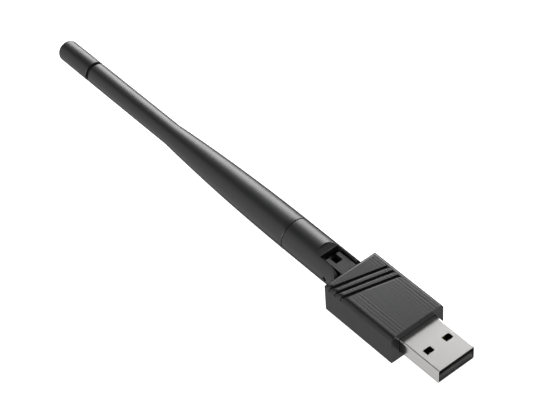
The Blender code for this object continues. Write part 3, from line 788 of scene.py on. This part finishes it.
def make_sleeve(material):
    """A turned tube, with a wider socket for the knuckle's spigot at its hinge end."""
    start = SLEEVE_HIGH.x - PIN.x
    end = SLEEVE_LOW.x - PIN.x
    steps = 36
    stations = [TAPER_START + (TAPER_END - TAPER_START) * i / steps for i in range(steps + 1)]
    profile = [(start, SOCKET_RADIUS)]
    profile += [(start - x, r) for r, x in arc((KNUCKLE_RADIUS - EDGE, EDGE), EDGE, 270, 360, 4)]
    profile += [(x, sleeve_radius(x)) for x in stations[1:]]
    profile += [(end + x, r) for r, x in arc((TIP_RADIUS - EDGE, EDGE), EDGE, 0, -90, 4)]
    profile += [(end, TIP_RADIUS - SLEEVE_WALL)]
    profile += [(x, sleeve_radius(x) - SLEEVE_WALL) for x in reversed(stations) if x < SOCKET_END]
    profile += [(SOCKET_END, sleeve_radius(SOCKET_END) - SLEEVE_WALL), (SOCKET_END, SOCKET_RADIUS)]
    sleeve = lathe("tapered_sleeve", profile, ROUND, PIN)
    shade(sleeve, 40)
    sleeve.data.materials.append(material)
    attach(sleeve, ANTENNA)
    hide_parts("antenna_sleeve")


def make_cap(material):
    """The rounded tip, held off the sleeve by the ring groove, with a spigot that runs into the sleeve."""
    end = CAP_LOW.x - PIN.x
    start = SLEEVE_LOW.x - PIN.x - RING_WIDTH
    spigot_end = CAP_HIGH.x - PIN.x
    profile = [(spigot_end, 0.0), (spigot_end, TIP_SPIGOT_RADIUS), (start, TIP_SPIGOT_RADIUS)]
    profile += arc((start - EDGE, TIP_RADIUS - EDGE), EDGE, 0, 90, 4)
    profile += arc((end + TIP_ROUNDING, TIP_RADIUS - TIP_ROUNDING), TIP_ROUNDING, 90, 180, 14)
    profile += [(end, 0.0)]
    cap = lathe("end_cap", profile, ROUND, PIN)
    shade(cap, 40)
    cap.data.materials.append(material)
    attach(cap, ANTENNA)
    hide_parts("tip_cap")


def make_coax(material):
    """The coax from its pad on the board through the tongue and up the antenna, with closely spaced rings
    where it runs past the pivot.
    """
    lead_low, lead_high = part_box("coax_lead")
    feed_low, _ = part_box("coax_feed")
    pad_z = lead_low.z + COAX_RADIUS
    centres = [(lead_high.x, pad_z)]
    steps = 14
    for i in range(steps + 1):
        share = i / steps
        ease = (1 - math.cos(math.pi * share)) / 2
        x = FRONT_X + COAX_RISE_START + (COAX_RISE_END - COAX_RISE_START) * share
        centres.append((x, pad_z + (PIN.z - pad_z) * ease))
    count = 36
    for i in range(count + 1):
        x = PIN.x + COAX_FLEX_START + (COAX_FLEX_END - COAX_FLEX_START) * i / count
        centres.append((x, PIN.z))
    centres.append((feed_low.x, PIN.z))
    coax = tube_through("coax", centres, COAX_RADIUS, COAX_ROUND)
    shade(coax, 40)
    coax.data.materials.append(material)
    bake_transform(coax)
    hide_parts("coax_lead", "coax_feed")


def tube_through(name, centres, radius, segments):
    """A closed round tube through (x, z) points in the plane y = 0."""
    build = bmesh.new()
    rings = []
    for i, (x, z) in enumerate(centres):
        before = centres[max(i - 1, 0)]
        after = centres[min(i + 1, len(centres) - 1)]
        heading = Vector((after[0] - before[0], 0, after[1] - before[1])).normalized()
        up = Vector((0, 1, 0)).cross(heading)
        ring = []
        for k in range(segments):
            angle = 2 * math.pi * k / segments
            offset = Vector((0, math.cos(angle), 0)) + up * math.sin(angle)
            ring.append(build.verts.new(Vector((x, 0, z)) + offset * radius))
        rings.append(ring)
    for first, second in zip(rings, rings[1:]):
        for k in range(segments):
            j = (k + 1) % segments
            build.faces.new((first[k], first[j], second[j], second[k]))
    build.faces.new(rings[0])
    build.faces.new(rings[-1])
    return link_mesh(name, finish_mesh(name, build))


def make_hinge_hardware(steel, washer_black):
    """A pin and a friction washer on each side of the tongue."""
    axis = Vector((PIN.x, 0, PIN.z))
    far = HINGE_CUT_REACH
    for label in ("left", "right"):
        low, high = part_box(f"hinge_pin_{label}")
        radius = (high.x - low.x) / 2
        pin = prism(f"pin_{label}", "Y", circle(radius, PIN_ROUND), low.y, high.y, axis)
        soften(pin, PIN_EDGE)
        pin.data.materials.append(steel)
        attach(pin, ANTENNA)
        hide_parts(f"hinge_pin_{label}")
        low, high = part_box(f"friction_washer_{label}")
        radius = (high.x - low.x) / 2
        washer = prism(f"washer_{label}", "Y", circle(radius, WASHER_ROUND), low.y, high.y, axis)
        combine(washer, prism("hole", "Y", circle(WASHER_HOLE, SMALL_ROUND), -far, far, axis))
        soften(washer, WASHER_EDGE)
        washer.data.materials.append(washer_black)
        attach(washer, ANTENNA)
        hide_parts(f"friction_washer_{label}")


def finish_inner_nodes(materials):
    """The pieces inside keep their CAD shape and get a procedural finish."""
    finishes = {
        "circuit_board": "board",
        "wifi_chip": "chip",
        "quartz_crystal": "steel",
        "voltage_regulator": "chip",
        "power_inductor": "chip",
        "choke_tube": "brass",
        "heat_shrink_sleeve": "chip",
        "radiator_wire": "copper",
        "foam_spacer": "foam",
    }
    for i in range(CAPACITOR_COUNT):
        finishes[f"chip_capacitor_{i + 1}"] = "capacitor"
    for node, finish in finishes.items():
        mesh = frame["nodes"][node].data
        mesh.materials.clear()
        mesh.materials.append(materials[finish])


# ---- stage ----

def make_floor():
    """A plain white floor. Only the camera sees it, so the black plastic keeps its dark outline."""
    half = FLOOR_HALF_SIDE
    floor = block("floor", (-half, -half, FLOOR_UNDERSIDE), (half, half, FLOOR_TOP))
    material, _, _, shader = new_material("pale_floor")
    shader.inputs["Base Color"].default_value = (0.8, 0.8, 0.8, 1.0)
    shader.inputs["Roughness"].default_value = 0.9
    shader.inputs["Specular IOR Level"].default_value = 0.0
    shader.inputs["Emission Color"].default_value = (1.0, 1.0, 1.0, 1.0)
    shader.inputs["Emission Strength"].default_value = 1.0
    floor.data.materials.append(material)
    floor.visible_glossy = False
    floor.visible_diffuse = False
    floor.visible_shadow = False


def add_softbox(name, direction, distance, half_width, half_height, radiance):
    """A rectangular light that faces the object, level with the antenna, with its half angles in degrees."""
    light = bpy.data.lights.new(name, "AREA")
    light.shape = "RECTANGLE"
    light.size = 2 * distance * math.tan(math.radians(half_width))
    light.size_y = 2 * distance * math.tan(math.radians(half_height))
    light.energy = radiance * math.pi * light.size * light.size_y
    item = bpy.data.objects.new(name, light)
    bpy.context.scene.collection.objects.link(item)
    toward = Vector(direction).normalized()
    across = (Vector((1, 0, 0)) - toward * toward.x).normalized()
    pose = Matrix((across, toward.cross(across), toward)).transposed().to_4x4()
    pose.translation = toward * distance
    item.matrix_world = pose
    item.visible_camera = False


def make_lights():
    for box in SOFTBOXES:
        add_softbox(*box)
    world = bpy.data.worlds.new("studio")
    bpy.context.scene.world = world
    world.use_nodes = True
    background = world.node_tree.nodes["Background"]
    background.inputs["Color"].default_value = (1.0, 1.0, 1.0, 1.0)
    background.inputs["Strength"].default_value = WORLD_STRENGTH
    bpy.context.scene.view_settings.view_transform = "Standard"


def make_camera():
    data = bpy.data.cameras.new("camera")
    data.lens = CAMERA_LENS
    data.sensor_width = CAMERA_SENSOR
    data.clip_start = CAMERA_CLIP
    item = bpy.data.objects.new("camera", data)
    bpy.context.scene.collection.objects.link(item)
    level = math.cos(CAMERA_ELEVATION)
    across = math.sin(CAMERA_AZIMUTH)
    along = math.cos(CAMERA_AZIMUTH)
    back = Vector((across * level, -along * level, math.sin(CAMERA_ELEVATION)))
    right = Matrix.Rotation(CAMERA_ROLL, 3, back) @ Vector((along, across, 0.0))
    up = back.cross(right)
    pose = Matrix((right, up, back)).transposed().to_4x4()
    pose.translation = CAMERA_AIM + back * CAMERA_DISTANCE
    item.matrix_world = pose
    bpy.context.scene.camera = item


def make_materials():
    """One procedural finish per kind of surface: two colours to vary between, and a range of roughness."""
    return {
        "side": grained("body_side", (0.007, 0.007, 0.0073), (0.010, 0.010, 0.0103), BODY_ROUGHNESS,
                        specular=BODY_SPECULAR),
        "top": ribbed("body_top", (0.006, 0.006, 0.0062), (0.012, 0.012, 0.0124), BODY_ROUGHNESS),
        "antenna": grained("antenna_skin", (0.008, 0.008, 0.0084), (0.010, 0.010, 0.0104), (0.36, 0.40),
                           grain=0.002 * MM),
        "plug": brushed("plug_plate", (0.58, 0.573, 0.56), (0.61, 0.603, 0.59), (0.19, 0.20),
                        depth=0.0002 * MM),
        "insulator": grained("insulator_black", (0.012, 0.012, 0.012), (0.018, 0.018, 0.018), (0.45, 0.55)),
        "gold": brushed("contact_plate", (0.80, 0.56, 0.22), (0.88, 0.64, 0.28), (0.2, 0.3)),
        "steel": brushed("turned_steel", (0.42, 0.42, 0.43), (0.5, 0.5, 0.5), (0.28, 0.4), (1.0, 0.05, 1.0)),
        "washer": grained("washer_nylon", (0.012, 0.012, 0.012), (0.02, 0.02, 0.02), (0.4, 0.5)),
        "jacket": grained("coax_jacket", (0.010, 0.010, 0.010), (0.016, 0.016, 0.016), (0.4, 0.5)),
        "board": board_material("solder_mask"),
        "chip": grained("chip_epoxy", (0.014, 0.014, 0.015), (0.024, 0.024, 0.025), (0.5, 0.62)),
        "capacitor": capacitor_material("chip_ceramic"),
        "brass": brushed("drawn_brass", (0.66, 0.47, 0.2), (0.74, 0.55, 0.26), (0.25, 0.38)),
        "copper": brushed("bare_copper", (0.7, 0.36, 0.2), (0.78, 0.44, 0.26), (0.25, 0.35)),
        "foam": grained("white_foam", (0.7, 0.7, 0.67), (0.8, 0.8, 0.77), (0.85, 0.95),
                        grain=0.03 * MM, grain_scale=3000.0),
    }


def main():
    make_camera()
    materials = make_materials()
    make_housing(materials["side"], materials["top"])
    make_cover(materials["side"])
    make_plug_shell(materials["plug"])
    soften_plug_inside(materials["insulator"], materials["gold"])
    make_knuckle(materials["antenna"])
    make_sleeve(materials["antenna"])
    make_cap(materials["antenna"])
    make_coax(materials["jacket"])
    make_hinge_hardware(materials["steel"], materials["washer"])
    finish_inner_nodes(materials)
    make_floor()
    make_lights()


main()
